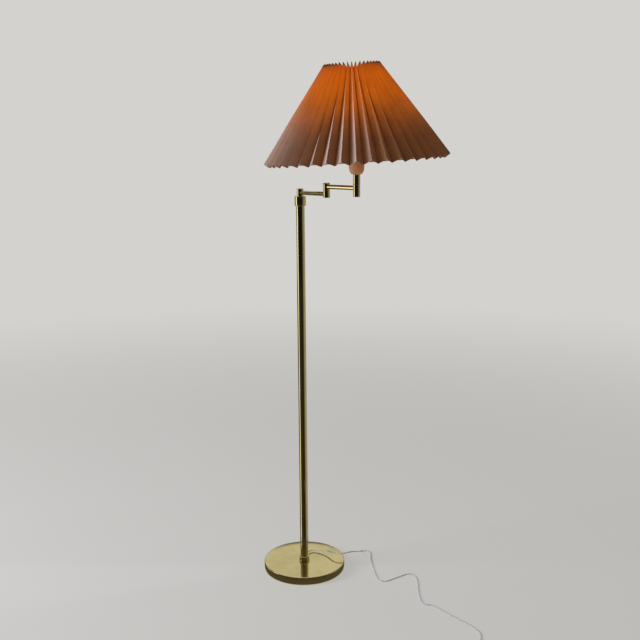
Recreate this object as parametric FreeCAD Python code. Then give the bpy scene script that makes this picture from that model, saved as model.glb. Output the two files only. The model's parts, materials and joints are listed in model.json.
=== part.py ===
import FreeCAD, Part
import math
import os

# A brass bridge floor lamp: a weighted round base, a slim column, two short swing
# arms and a pleated shade on a screw lampholder. Millimetres, +Z up.
# The origin is the centre of the base's underside, on the floor. Seen along +Y,
# the arms reach to the right (+X) and towards the viewer (-Y).

os.makedirs("parts", exist_ok=True)
V = FreeCAD.Vector
up = V(0, 0, 1)

# ---- driving dimensions -------------------------------------------------------

# base
base_diameter = 254.0
base_top = 26.0
base_edge_radius = 3.0
cover_wall = 1.2
cover_lift = 0.8
felt_thickness = 2.5
felt_inset = 4.0
nut_pocket_radius = 17.0
nut_pocket_depth = 11.0
stud_radius = 5.0
stud_reach = 18.0
washer_radius = 14.0
washer_thickness = 2.0
clamp_nut_width = 17.0
clamp_nut_height = 7.0

# column
column_radius = 12.7
column_wall = 1.5
column_top = 1162.0
foot_height = 24.0
base_collar_radius = 16.5
base_collar_height = 12.5
top_collar_radius = 16.75
top_collar_overlap = 16.0
top_collar_rise = 12.0
collar_chamber_radius = 11.0
edge_break = 0.8

# cord outlet in the base collar
outlet_height = 32.0
outlet_azimuth = 72.0
relief_root_radius = 4.0
relief_tip_radius = 3.2
relief_length = 20.0
relief_start = 13.5
wire_radius = 1.6
wire_bend = 3.4
wire_channel_radius = 2.5
wire_channel_offset = 8.0
wire_centred_at = 110.0

# swing arms: where the elbow and the end hub stand, seen from above, and each
# height as a rise or drop from the one that carries it
elbow_x = 75.1
elbow_y = -87.0
head_x = 155.6
head_y = -169.0
arm_radius = 6.35
arm_wall = 1.0
inner_arm_rise = 10.7
outer_arm_rise = 10.0
hub_radius = 9.75
hub_chamber_radius = 7.5
hub_wall = 3.0
plug_thickness = 2.0
shoulder_hub_rise = 11.3
elbow_socket_drop = 10.3
elbow_socket_rise = 10.5
elbow_hub_rise = 8.1
elbow_cap_radius = 10.3
elbow_cap_height = 3.0
end_hub_drop = 24.2
end_hub_rise = 9.8
stem_length = 27.0
stem_radius = 9.9

# swivels: a hollow nipple, screwed into the turning piece, passes through the
# wall below it and carries a lock nut
nipple_radius = 5.0
nipple_bore = 3.4
swivel_nut_radius = 7.0
swivel_nut_height = 2.4
face_gap = 0.3
running_gap = 0.05
seat_gap = 0.05

# lampholder
dome_radius = 21.2
dome_seat_radius = 10.0
dome_height = 20.0
holder_cap_height = 22.0
holder_wall = 2.0
holder_body_radius = 19.0
holder_body_height = 29.0
holder_nipple_depth = 9.0
holder_nipple_rise = 5.0
insert_radius = 16.4
insert_rise = 11.0
insert_height = 15.0
screw_shell_radius = 13.9
screw_shell_wall = 0.4
screw_shell_height = 24.0
contact_radius = 3.0
contact_height = 2.0
ring_nut_radius = 24.0
ring_nut_height = 4.0
switch_rise = 15.0
switch_shaft_radius = 2.5
switch_shaft_length = 18.0
switch_key_width = 13.0
switch_key_length = 13.0
switch_key_thickness = 4.0
switch_key_corner = 4.0
switch_key_gap = 1.0

# bulb
bulb_cap_radius = 13.2
bulb_cap_rise = 4.0
bulb_cap_height = 26.5
bulb_tip_radius = 4.5
bulb_tip_height = 2.0
bulb_neck_radius = 13.6
bulb_radius = 30.0
bulb_length = 86.0
bulb_wall = 0.9

# shade, in its own frame: its origin is the centre of its carrier ring
pleats = 42
pleat_phase = -98.0
shade_bottom_radius = 255.0
shade_top_radius = 75.3
shade_height = 261.6
bottom_pleat_depth = 13.4
top_pleat_depth = 20.5
shade_wall = 0.6
shade_drop = 10.0
shade_tilt = 3.0
ring_wire_radius = 1.5
ring_inset = 6.0
carrier_rise = 17.0
carrier_inner = 21.0
carrier_outer = 27.0
carrier_thickness = 1.6
carrier_arms = 3
carrier_wire_radius = 2.0
carrier_arm_azimuth = 75.0
carrier_belly_height = 40.0
carrier_straight_height = 30.0
carrier_foot_depth = 8.0
carrier_foot_width = 16.0
bulb_clearance = 16.0

# mains cord, coil and plug
cord_diameter = 5.3
floor_gap = 0.05
tie_thickness = 0.9
tie_width = 12.0
tie_azimuth = 150.0
tie_gap = 0.3
coil_turns = 5.25
coil_mean_radius = 30.0
coil_pitch = cord_diameter + 0.6
plug_width = 34.0
plug_thick = 15.4
plug_length = 37.0
plug_relief_length = 33.0
plug_relief_radius = 4.4
plug_corner = 5.0
plug_shoulder = 3.0
pin_radius = 2.0
pin_length = 19.0
pin_spacing = 18.6

# ---- sizes that follow ---------------------------------------------------------

base_radius = base_diameter / 2
column_bore = column_radius - column_wall
ballast_top = base_top - cover_wall
ballast_radius = base_radius - cover_wall - 0.2
cord_lift = cord_diameter / 2 + floor_gap
coil_height = cord_lift + tie_thickness
coil_inner_radius = coil_mean_radius - coil_pitch * coil_turns / 4
coil_outer_radius = coil_mean_radius + coil_pitch * coil_turns / 4

top_collar_bottom = column_top - top_collar_overlap
top_collar_top = column_top + top_collar_rise
inner_arm_height = top_collar_top + inner_arm_rise
shoulder_hub_top = inner_arm_height + shoulder_hub_rise
elbow_bottom = inner_arm_height - elbow_socket_drop
elbow_split = inner_arm_height + elbow_socket_rise
outer_arm_height = elbow_split + outer_arm_rise
elbow_top = outer_arm_height + elbow_hub_rise
end_hub_bottom = outer_arm_height - end_hub_drop
end_hub_top = outer_arm_height + end_hub_rise
stem_top = end_hub_top + stem_length
insert_bottom = stem_top + insert_rise
insert_top = insert_bottom + insert_height
switch_height = stem_top + switch_rise
holder_body_top = insert_top + holder_body_height
bulb_cap_bottom = insert_top + bulb_cap_rise
bulb_cap_top = bulb_cap_bottom + bulb_cap_height
carrier_height = insert_top + carrier_rise

shoulder = V(0, 0, 0)
elbow = V(elbow_x, elbow_y, 0)
head = V(head_x, head_y, 0)
shoulder_hub_bottom = top_collar_top + face_gap
elbow_upper_bottom = elbow_split + face_gap
stem_bottom = end_hub_top + face_gap
nipple_engagement = hub_wall + 1.0
outlet_dir = V(math.cos(math.radians(outlet_azimuth)), math.sin(math.radians(outlet_azimuth)), 0)

# the free cord's route, from the outlet over the base and along the floor
cord_route = [
    outlet_dir * (relief_start + relief_length) + V(0, 0, outlet_height),
    outlet_dir * (relief_start + relief_length + 8.0) + V(0, 0, outlet_height),
    V(18.9, 46.1, 31.2),
    V(27.4, 49.4, 30.6),
    V(41.3, 48.0, 31.5),
    V(55.0, 43.0, 34.0),
    V(68.0, 35.5, 36.5),
    V(78.0, 26.0, 38.3),
    V(86.5, 13.5, 40.0),
    V(96.5, 2.0, 41.6),
    V(110.0, -4.5, 43.0),
    V(124.0, -3.0, 43.5),
    V(137.5, 4.5, 42.6),
    V(150.0, 16.0, 39.0),
    V(161.0, 31.0, 32.5),
    V(169.5, 47.5, 24.5),
    V(175.5, 64.0, 15.5),
    V(179.8, 79.0, 8.5),
    V(184.0, 90.0, 4.4),
    V(190.4, 96.3, cord_lift),
    V(199.1, 99.1, cord_lift),
    V(208.0, 97.6, cord_lift),
    V(215.2, 92.2, cord_lift),
    V(219.0, 84.2, cord_lift),
    V(218.8, 70.0, cord_lift),
    V(217.0, 46.0, cord_lift),
    V(217.3, 8.0, cord_lift),
    V(219.0, -34.0, cord_lift),
    V(223.0, -70.0, cord_lift),
    V(225.5, -88.0, cord_lift),
    V(226.2, -98.0, cord_lift),
    V(230.0, -105.1, cord_lift),
    V(236.1, -110.2, cord_lift),
    V(243.8, -112.5, cord_lift),
    V(251.7, -111.8, cord_lift),
    V(263.2, -105.7, cord_lift),
    V(278.0, -95.5, cord_lift),
    V(298.0, -82.5, cord_lift),
    V(311.0, -73.6, cord_lift),
    V(318.0, -69.0, cord_lift),
    V(325.8, -67.4, cord_lift),
    V(333.7, -69.0, cord_lift),
    V(340.3, -73.6, cord_lift),
    V(344.6, -80.3, cord_lift),
    V(347.0, -94.0, cord_lift),
    V(348.0, -116.0, cord_lift),
    V(345.5, -148.0, cord_lift),
    V(342.0, -186.0, cord_lift),
    V(342.0, -220.0, cord_lift),
    V(342.8, -237.0, cord_lift),
    V(344.2, -246.0, cord_lift),
    V(349.4, -253.8, cord_lift),
    V(357.6, -258.2, cord_lift),
    V(367.2, -259.2, cord_lift),
    V(376.0, -265.2, cord_lift),
    V(384.0, -275.8, cord_lift),
    V(394.0, -291.5, cord_lift),
    V(411.0, -312.0, cord_lift),
    V(431.5, -340.5, cord_lift),
    V(455.0, -366.0, cord_lift),
    V(472.0, -391.0, cord_lift),
    V(480.6, -412.0, cord_lift),
    V(482.0, -430.0, cord_lift),
    V(478.0, -447.0, cord_lift),
    V(471.5, -466.0, cord_lift),
    V(467.3, -485.0, cord_lift),
    V(466.0, -503.0, coil_height),
    V(466.0, -517.0, coil_height),
]
coil_lead = cord_diameter
coil_centre = cord_route[-1] + V(-coil_outer_radius, -coil_lead, 0)


# ---- helpers ------------------------------------------------------------------

def save(node, shape):
    if not shape.isValid():
        print("not valid:", node)
    shape.exportStep("parts/" + node + ".step")
    print(node, len(shape.Solids), round(shape.Volume / 1000, 2), "cm3")


def cylinder(radius, low, high, centre=shoulder):
    return Part.makeCylinder(radius, high - low, V(centre.x, centre.y, low))


def tube(outer, inner, low, high, centre=shoulder):
    return cylinder(outer, low, high, centre).cut(cylinder(inner, low - 1, high + 1, centre))


def cross_cylinder(radius, start, direction, length):
    return Part.makeCylinder(radius, length, start, direction)


def turned(outline, centre):
    # outline: (radius, height) points, revolved about the vertical axis at centre
    points = [V(centre.x + r, centre.y, z) for r, z in outline]
    face = Part.Face(Part.makePolygon(points + points[:1]))
    return face.revolve(V(centre.x, centre.y, 0), up, 360)


def hexagon(width, low, height, centre):
    radius = width / math.sqrt(3)
    corners = []
    for k in range(7):
        turn = math.radians(60 * k)
        corners.append(V(centre.x + radius * math.cos(turn), centre.y + radius * math.sin(turn), low))
    return Part.Face(Part.makePolygon(corners)).extrude(V(0, 0, height))


def rounded_route(points, radius=None):
    # straight runs joined by tangent arcs; the arcs are as large as their runs allow
    edges = []
    radii = []
    start = points[0]
    for before, corner, after in zip(points, points[1:], points[2:]):
        back = before - corner
        ahead = after - corner
        half_turn = (math.pi - back.getAngle(ahead)) / 2
        reach = 0.45 * min(back.Length, ahead.Length)
        if radius is not None:
            reach = radius * math.tan(half_turn)
        radii.append(reach / math.tan(half_turn))
        back.normalize()
        ahead.normalize()
        leave = corner + back * reach
        join = corner + ahead * reach
        inward = back + ahead
        inward.normalize()
        depth = radii[-1] * (1 / math.cos(half_turn) - 1)
        edges.append(Part.LineSegment(start, leave).toShape())
        edges.append(Part.Arc(leave, corner + inward * depth, join).toShape())
        start = join
    edges.append(Part.LineSegment(start, points[-1]).toShape())
    return Part.Wire(edges), radii


def swept(path, radius):
    first = path.OrderedEdges[0]
    start = first.valueAt(first.FirstParameter)
    heading = first.tangentAt(first.FirstParameter)
    ring = Part.Wire(Part.makeCircle(radius, start, heading))
    return path.makePipeShell([ring], True, False)


def biarc(start, leaving, end, arriving):
    # two arcs that meet smoothly, from start along leaving to end along arriving
    chord = end - start
    square = 2 * (leaving.dot(arriving) - 1)
    linear = -2 * chord.dot(leaving + arriving)
    constant = chord.dot(chord)
    if abs(square) < 1e-9:
        reach = -constant / linear
    else:
        reach = (-linear - math.sqrt(linear * linear - 4 * square * constant)) / (2 * square)
    middle = (start + leaving * reach + end - arriving * reach) * 0.5
    return [arc_from(start, leaving, middle), arc_from(end, -arriving, middle, True)]


def arc_from(start, heading, end, backwards=False):
    chord = end - start
    side = chord - heading * chord.dot(heading)
    side.normalize()
    radius = chord.dot(chord) / (2 * chord.dot(side))
    centre = start + side * radius
    outward = (start + end) * 0.5 - centre
    outward.normalize()
    top = centre + outward * radius
    if backwards:
        return Part.Arc(end, top, start).toShape()
    return Part.Arc(start, top, end).toShape()


def rounded_plug(radius, low, high, centre):
    disc = cylinder(radius, low, high, centre)
    return disc.makeChamfer(0.4, [edge for edge in disc.Edges if abs(edge.BoundBox.ZMin - high) < 1e-6
                                  and abs(edge.BoundBox.ZMax - high) < 1e-6])


# ---- base ---------------------------------------------------------------------

def build_base():
    felt = cylinder(base_radius - cover_wall - felt_inset, 0, felt_thickness)
    save("felt_pad", felt)

    outer = cylinder(base_radius, cover_lift, base_top)
    rim = [edge for edge in outer.Edges if abs(edge.BoundBox.ZMin - base_top) < 1e-6]
    outer = outer.makeFillet(base_edge_radius, rim)
    inner = cylinder(base_radius - cover_wall, cover_lift - 1, ballast_top)
    lip = [edge for edge in inner.Edges if abs(edge.BoundBox.ZMin - ballast_top) < 1e-6]
    inner = inner.makeFillet(base_edge_radius - cover_wall, lip)
    cover = outer.cut(inner).cut(cylinder(stud_radius + seat_gap, 0, base_top + 1))
    save("base_cover", cover)

    ballast = cylinder(ballast_radius, felt_thickness, ballast_top)
    lip = [edge for edge in ballast.Edges if abs(edge.BoundBox.ZMin - ballast_top) < 1e-6]
    ballast = ballast.makeFillet(base_edge_radius - cover_wall, lip)
    pocket_top = felt_thickness + nut_pocket_depth
    ballast = ballast.cut(cylinder(nut_pocket_radius, 0, pocket_top))
    ballast = ballast.cut(cylinder(stud_radius + seat_gap, 0, base_top))
    save("base_weight", ballast)

    washer_bottom = pocket_top - washer_thickness
    save("clamp_washer", tube(washer_radius, stud_radius + seat_gap, washer_bottom, pocket_top))
    nut_bottom = washer_bottom - clamp_nut_height
    nut = hexagon(clamp_nut_width, nut_bottom, clamp_nut_height, shoulder)
    save("clamp_nut", nut.cut(cylinder(stud_radius + seat_gap, 0, base_top)))
    save("clamp_stud", cylinder(stud_radius, nut_bottom, base_top + stud_reach))


def build_column():
    channel_at = outlet_dir * wire_channel_offset
    outlet = V(0, 0, outlet_height)
    foot_top = base_top + foot_height
    foot = cylinder(column_bore - seat_gap, base_top, foot_top)
    foot = foot.cut(cylinder(stud_radius + seat_gap, base_top - 1, base_top + stud_reach + 1))
    foot = foot.cut(cylinder(wire_channel_radius, outlet_height - wire_channel_radius, foot_top + 1, channel_at))
    channel = cross_cylinder(wire_channel_radius, outlet + channel_at, outlet_dir, column_radius)
    save("column_foot", foot.cut(channel))

    bore = cross_cylinder(relief_root_radius + seat_gap, outlet + channel_at, outlet_dir, base_collar_radius)
    bore = bore.cut(cylinder(column_bore, outlet_height - 20, outlet_height + 20))
    column = tube(column_radius, column_bore, base_top, column_top)
    save("column_tube", column.cut(bore))

    collar = tube(base_collar_radius, column_radius + seat_gap, base_top, base_top + base_collar_height)
    rim = [edge for edge in collar.Edges if abs(edge.BoundBox.ZMin - base_top - base_collar_height) < 1e-6]
    save("base_collar", collar.makeChamfer(edge_break, rim[:1]).cut(bore))

    relief = Part.makeCone(relief_root_radius, relief_tip_radius, relief_length,
                           outlet + outlet_dir * relief_start, outlet_dir)
    relief = relief.cut(cross_cylinder(wire_radius + seat_gap, outlet, outlet_dir, relief_start + relief_length))
    save("cord_relief", relief)

    collar = cylinder(top_collar_radius, top_collar_bottom, top_collar_top)
    rims = [edge for edge in collar.Edges if edge.BoundBox.ZMax - edge.BoundBox.ZMin < 1e-6]
    collar = collar.makeChamfer(edge_break, rims)
    collar = collar.cut(cylinder(column_radius + seat_gap, top_collar_bottom - 1, column_top))
    collar = collar.cut(cylinder(collar_chamber_radius, column_top - 1, top_collar_top - hub_wall))
    collar = collar.cut(cylinder(nipple_radius + running_gap, top_collar_bottom, top_collar_top + 1))
    save("top_collar", collar)

    wire_top = top_collar_top - hub_wall + 1
    route = [outlet + outlet_dir * (relief_start + relief_length),
             outlet + channel_at,
             channel_at + V(0, 0, foot_top + 8),
             V(0, 0, wire_centred_at),
             V(0, 0, wire_top - face_gap)]
    path, radii = rounded_route(route, wire_bend)
    save("column_wire", swept(path, wire_radius))
    return wire_top


# ---- swing arms ---------------------------------------------------------------

def swivel(name, centre, wall_top):
    # the nipple and lock nut that hang a turning piece on the wall below it
    low = wall_top - hub_wall - face_gap - swivel_nut_height
    nipple = tube(nipple_radius, nipple_bore, low, wall_top + face_gap + nipple_engagement, centre)
    save(name + "_nipple", nipple)
    save(name + "_lock_nut", tube(swivel_nut_radius, nipple_radius + seat_gap, low, low + swivel_nut_height, centre))


def arm_tube(start, end, height):
    direction = end - start
    length = direction.Length
    at = V(start.x, start.y, height)
    pipe = cross_cylinder(arm_radius, at, direction, length)
    pipe = pipe.cut(cross_cylinder(arm_radius - arm_wall, at, direction, length))
    for centre in (start, end):
        pipe = pipe.cut(cylinder(hub_chamber_radius + seat_gap, height - 20, height + 20, centre))
    return pipe


def hub(centre, low, high, floor, roof, arm_height, towards):
    # a hollow round hub; floor and roof are the chamber's ends, towards is the arm's side
    body = cylinder(hub_radius, low, high, centre)
    rims = [edge for edge in body.Edges if edge.BoundBox.ZMax - edge.BoundBox.ZMin < 1e-6]
    body = body.makeChamfer(edge_break / 2, rims)
    body = body.cut(cylinder(hub_chamber_radius, floor, roof, centre))
    direction = V(towards.x - centre.x, towards.y - centre.y, 0)
    at = V(centre.x, centre.y, arm_height)
    return body.cut(cross_cylinder(arm_radius + seat_gap, at, direction, 2 * hub_radius))


def build_inner_arm(wire_low):
    # shoulder hub: the nipple screws into its floor, a disc closes its top
    floor = shoulder_hub_bottom + hub_wall
    body = hub(shoulder, shoulder_hub_bottom, shoulder_hub_top, floor, shoulder_hub_top + 1,
               inner_arm_height, elbow)
    save("shoulder_hub", body.cut(cylinder(nipple_radius + seat_gap, shoulder_hub_bottom - 1, floor + 1)))
    save("shoulder_plug", rounded_plug(hub_chamber_radius - seat_gap, shoulder_hub_top - plug_thickness,
                                       shoulder_hub_top, shoulder))
    swivel("shoulder", shoulder, top_collar_top)

    save("inner_arm_tube", arm_tube(shoulder, elbow, inner_arm_height))

    # elbow socket: the nipple of the upper half turns in its roof
    roof = elbow_split - hub_wall
    body = hub(elbow, elbow_bottom, elbow_split, elbow_bottom - 1, roof, inner_arm_height, shoulder)
    save("elbow_socket", body.cut(cylinder(nipple_radius + running_gap, roof - 1, elbow_split + 1, elbow)))
    save("elbow_plug", rounded_plug(hub_chamber_radius - seat_gap, elbow_bottom,
                                    elbow_bottom + plug_thickness, elbow))

    wire_high = elbow_split - hub_wall + 1
    route = [V(0, 0, wire_low), V(0, 0, inner_arm_height),
             elbow + V(0, 0, inner_arm_height), elbow + V(0, 0, wire_high - face_gap)]
    path, radii = rounded_route(route, wire_bend)
    save("inner_arm_wire", swept(path, wire_radius))
    return wire_high


def build_outer_arm(wire_low):
    floor = elbow_upper_bottom + hub_wall
    body = hub(elbow, elbow_upper_bottom, elbow_top, floor, elbow_top + 1, outer_arm_height, head)
    save("elbow_hub", body.cut(cylinder(nipple_radius + seat_gap, elbow_upper_bottom - 1, floor + 1, elbow)))
    swivel("elbow", elbow, elbow_split)

    spigot = cylinder(hub_chamber_radius - seat_gap, elbow_top - plug_thickness, elbow_top, elbow)
    lid = cylinder(elbow_cap_radius, elbow_top, elbow_top + elbow_cap_height, elbow)
    rim = [edge for edge in lid.Edges if abs(edge.BoundBox.ZMin - elbow_top - elbow_cap_height) < 1e-6]
    save("elbow_cap", lid.makeFillet(elbow_cap_height / 2, rim).fuse(spigot).removeSplitter())

    save("outer_arm_tube", arm_tube(elbow, head, outer_arm_height))

    roof = end_hub_top - hub_wall
    body = hub(head, end_hub_bottom, end_hub_top, end_hub_bottom - 1, roof, outer_arm_height, elbow)
    save("end_hub", body.cut(cylinder(nipple_radius + running_gap, roof - 1, end_hub_top + 1, head)))
    save("end_plug", rounded_plug(hub_chamber_radius - seat_gap, end_hub_bottom,
                                  end_hub_bottom + plug_thickness, head))

    wire_high = end_hub_top - hub_wall + 1
    route = [elbow + V(0, 0, wire_low), elbow + V(0, 0, outer_arm_height),
             head + V(0, 0, outer_arm_height), head + V(0, 0, wire_high - face_gap)]
    path, radii = rounded_route(route, wire_bend)
    save("outer_arm_wire", swept(path, wire_radius))
    return wire_high


# ---- lampholder, switch and bulb ----------------------------------------------

def dome_outline(shrink):
    # a quarter ellipse from the seat on the stem up to the straight side
    steps = 10
    rise = dome_radius - dome_seat_radius
    points = []
    for k in range(steps + 1):
        turn = math.radians(90 * k / steps)
        radius = dome_seat_radius + rise * math.sin(turn) - shrink
        height = stem_top + dome_height * (1 - math.cos(turn)) + shrink
        points.append((radius, height))
    return points


def build_holder(wire_low):
    stem = tube(stem_radius, nipple_radius + seat_gap, stem_bottom, stem_top, head)
    rims = [edge for edge in stem.Edges if edge.BoundBox.ZMax - edge.BoundBox.ZMin < 1e-6
            and edge.Curve.Radius > nipple_radius + 1]
    save("head_stem", stem.makeChamfer(edge_break / 2, rims))
    swivel("head", head, end_hub_top)
    nipple_top = stem_top + holder_nipple_rise
    save("holder_nipple", tube(nipple_radius, nipple_bore, stem_top - holder_nipple_depth, nipple_top, head))

    cap_top = stem_top + holder_cap_height
    outer = dome_outline(0) + [(dome_radius, cap_top), (0, cap_top), (0, stem_top)]
    inner = dome_outline(holder_wall)
    inner += [(dome_radius - holder_wall, cap_top + 1), (0, cap_top + 1), (0, stem_top + holder_wall)]
    cap = turned(outer, head).cut(turned(inner, head))
    cap = cap.cut(cylinder(nipple_radius + seat_gap, stem_top - 1, nipple_top, head))
    switch_at = V(head.x, head.y, switch_height)
    back = V(0, 1, 0)
    shaft_hole = cross_cylinder(switch_shaft_radius + running_gap, switch_at, back, 2 * dome_radius)
    save("holder_cap", cap.cut(shaft_hole))

    body = tube(holder_body_radius, holder_body_radius - holder_wall, insert_top, holder_body_top, head)
    skirt = tube(dome_radius, holder_body_radius - holder_wall, cap_top, insert_top, head)
    save("holder_body", body.fuse(skirt).removeSplitter())

    insert = cylinder(insert_radius, insert_bottom, insert_top, head)
    save("holder_insert", insert.cut(shaft_hole))
    shell_top = insert_top + screw_shell_height
    save("screw_shell", tube(screw_shell_radius, screw_shell_radius - screw_shell_wall,
                             insert_top, shell_top, head))
    save("centre_contact", cylinder(contact_radius, insert_top, insert_top + contact_height, head))

    tilt_rise = ring_nut_radius * math.sin(math.radians(shade_tilt)) + carrier_thickness / 2
    lower_top = carrier_height - tilt_rise - face_gap
    upper_bottom = carrier_height + tilt_rise + face_gap
    save("lower_ring_nut", tube(ring_nut_radius, holder_body_radius + seat_gap,
                                lower_top - ring_nut_height, lower_top, head))
    save("upper_ring_nut", tube(ring_nut_radius, holder_body_radius + seat_gap,
                                upper_bottom, upper_bottom + ring_nut_height, head))

    path = Part.Wire(Part.LineSegment(head + V(0, 0, wire_low), head + V(0, 0, insert_bottom)).toShape())
    save("head_wire", swept(path, wire_radius))


def build_switch():
    shaft_end = head.y + dome_radius + switch_key_gap
    inner_end = V(head.x, shaft_end - switch_shaft_length, switch_height)
    shaft = cross_cylinder(switch_shaft_radius, inner_end, V(0, 1, 0), switch_shaft_length)
    save("switch_shaft", shaft)
    # the key is a flat oval wing, upright when the lamp is lit
    key = Part.makeBox(switch_key_thickness, switch_key_length, switch_key_width,
                       V(head.x - switch_key_thickness / 2, shaft_end, switch_height - switch_key_width / 2))
    long_edges = [edge for edge in key.Edges
                  if abs(edge.BoundBox.YMax - edge.BoundBox.YMin) < 1e-6
                  and abs(edge.BoundBox.ZMax - edge.BoundBox.ZMin) < 1e-6]
    save("switch_key", key.makeFillet(switch_key_corner, long_edges))


def bulb_profile(shrink):
    # neck, swelling shoulder and round top, as (radius, height) points
    neck_bottom = bulb_cap_top
    ball_height = neck_bottom + bulb_length - bulb_radius
    steps = 12
    points = [(bulb_neck_radius - shrink, neck_bottom)]
    for k in range(1, steps + 1):
        share = k / steps
        blend = (1 - math.cos(math.pi * share)) / 2
        radius = bulb_neck_radius + (bulb_radius - bulb_neck_radius) * blend
        points.append((radius - shrink, neck_bottom + (ball_height - neck_bottom) * share))
    for k in range(1, steps):
        turn = math.radians(90 * k / steps)
        points.append(((bulb_radius - shrink) * math.cos(turn), ball_height + (bulb_radius - shrink) * math.sin(turn)))
    points.append((0, ball_height + bulb_radius - shrink))
    return points


def build_bulb():
    outer = turned(bulb_profile(0) + [(0, bulb_cap_top)], head)
    inner = turned(bulb_profile(bulb_wall) + [(0, bulb_cap_top)], head)
    save("bulb_glass", outer.cut(inner))
    cap = cylinder(bulb_cap_radius, bulb_cap_bottom + bulb_tip_height, bulb_cap_top, head)
    tip = Part.makeCone(bulb_tip_radius, bulb_cap_radius - 1, bulb_tip_height,
                        V(head.x, head.y, bulb_cap_bottom))
    save("bulb_cap", cap.fuse(tip).removeSplitter())


# ---- shade --------------------------------------------------------------------

def place_shade(shape):
    shape.translate(V(head.x, head.y, carrier_height))
    shape.rotate(V(head.x, head.y, carrier_height), V(0, 1, 0), -shade_tilt)
    return shape


slant_shift = (shade_bottom_radius - bottom_pleat_depth) - (shade_top_radius - top_pleat_depth)
rim_slope = slant_shift / shade_height


def fold_shift(wall, radius, depth):
    # how far inward a fold moves so that the panels beside it get the wall's thickness
    half_width = math.pi * (radius - depth / 2) / pleats
    return wall * math.hypot(half_width, depth) / half_width


def fold_line(ridge, wall):
    # the low and high ends of a fold, (radius, height), wall inside the outer skin
    depth_low = 0 if ridge else bottom_pleat_depth
    depth_high = 0 if ridge else top_pleat_depth
    low = (shade_bottom_radius - depth_low - fold_shift(wall, shade_bottom_radius, bottom_pleat_depth),
           (bottom_pleat_depth - depth_low) * rim_slope - shade_drop)
    high = (shade_top_radius - depth_high - fold_shift(wall, shade_top_radius, top_pleat_depth),
            shade_height - depth_high * rim_slope - shade_drop)
    return low, high


def pleat_core(wall, overrun):
    # the closed body inside the skin at this depth, run on past both ends of its folds
    low_ring = []
    high_ring = []
    for k in range(2 * pleats):
        turn = math.radians(pleat_phase + 180 * k / pleats)
        out = V(math.cos(turn), math.sin(turn), 0)
        low, high = fold_line(k % 2 == 1, wall)
        low = out * low[0] + up * low[1]
        high = out * high[0] + up * high[1]
        reach = (high - low) * overrun
        low_ring.append(low - reach)
        high_ring.append(high + reach)
    low_centre = up * (sum(point.z for point in low_ring) / len(low_ring))
    high_centre = up * (sum(point.z for point in high_ring) / len(high_ring))
    faces = []
    for k in range(2 * pleats):
        a, b = low_ring[k - 1], low_ring[k]
        c, d = high_ring[k], high_ring[k - 1]
        for corners in ((a, b, c), (a, c, d), (b, a, low_centre), (d, c, high_centre)):
            faces.append(Part.Face(Part.makePolygon(list(corners) + [corners[0]])))
    return Part.makeSolid(Part.makeShell(faces))


def build_pleats():
    skin = pleat_core(0, 0).cut(pleat_core(shade_wall, 0.03))
    save("shade_pleats", place_shade(skin))


def ring_at(height):
    # the wire ring's radius where it lies against the valley folds' inner side
    low, high = fold_line(False, shade_wall)
    share = (height - low[1]) / (high[1] - low[1])
    valley = low[0] + (high[0] - low[0]) * share
    return valley - (ring_wire_radius + face_gap) / math.cos(math.atan(rim_slope))


def build_frame():
    low_height = ring_inset - shade_drop
    high_height = fold_line(False, 0)[1][1] - ring_inset
    for name, height in (("shade_bottom_ring", low_height), ("shade_top_ring", high_height)):
        ring = Part.makeTorus(ring_at(height), ring_wire_radius)
        ring.translate(V(0, 0, height))
        save(name, place_shade(ring))

    plate = tube(carrier_outer, carrier_inner, -carrier_thickness / 2, carrier_thickness / 2)
    top_radius = ring_at(high_height)
    arm_top = high_height - ring_wire_radius - carrier_wire_radius
    belly = bulb_radius + bulb_clearance
    parts = [plate]
    for k in range(carrier_arms):
        turn = math.radians(carrier_arm_azimuth + 360 * k / carrier_arms)
        out = V(math.cos(turn), math.sin(turn), 0)
        side = V(-math.sin(turn), math.cos(turn), 0)
        route = [out * (carrier_outer - 1.5),
                 out * (belly - 4) + up * 8,
                 out * belly + up * carrier_belly_height,
                 out * (top_radius - 1) + up * (arm_top - carrier_straight_height),
                 out * top_radius + up * arm_top]
        path, radii = rounded_route(route)
        parts.append(swept(path, carrier_wire_radius))
        foot = Part.makeBox(carrier_foot_depth, carrier_foot_width, 2 * carrier_wire_radius,
                           V(-carrier_foot_depth / 2, -carrier_foot_width / 2, -carrier_wire_radius))
        foot.rotate(V(0, 0, 0), up, math.degrees(math.atan2(side.y, side.x)) - 90)
        foot.translate(out * top_radius + up * arm_top)
        parts.append(foot)
    carrier = parts[0].multiFuse(parts[1:]).removeSplitter()
    save("shade_carrier", place_shade(carrier))


# ---- cord ---------------------------------------------------------------------

def coil_point(turns):
    # spirals in, climbs one layer in the half turn where it reverses, spirals out
    middle = coil_turns / 2
    radius = coil_inner_radius + coil_pitch * abs(turns - middle)
    climb = min(max((turns - middle + 0.25) / 0.5, 0), 1)
    height = coil_height + coil_pitch * (1 - math.cos(math.pi * climb)) / 2
    turn = -2 * math.pi * turns
    return V(coil_centre.x + radius * math.cos(turn), coil_centre.y + radius * math.sin(turn), height)


def coil_heading(turns):
    step = 0.002
    if turns <= 0:
        return V(0, -1, 0)
    if turns >= coil_turns:
        heading = V(math.cos(-2 * math.pi * turns - math.pi / 2), math.sin(-2 * math.pi * turns - math.pi / 2), 0)
        return heading
    heading = coil_point(turns + step) - coil_point(turns - step)
    heading.normalize()
    return heading


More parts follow.
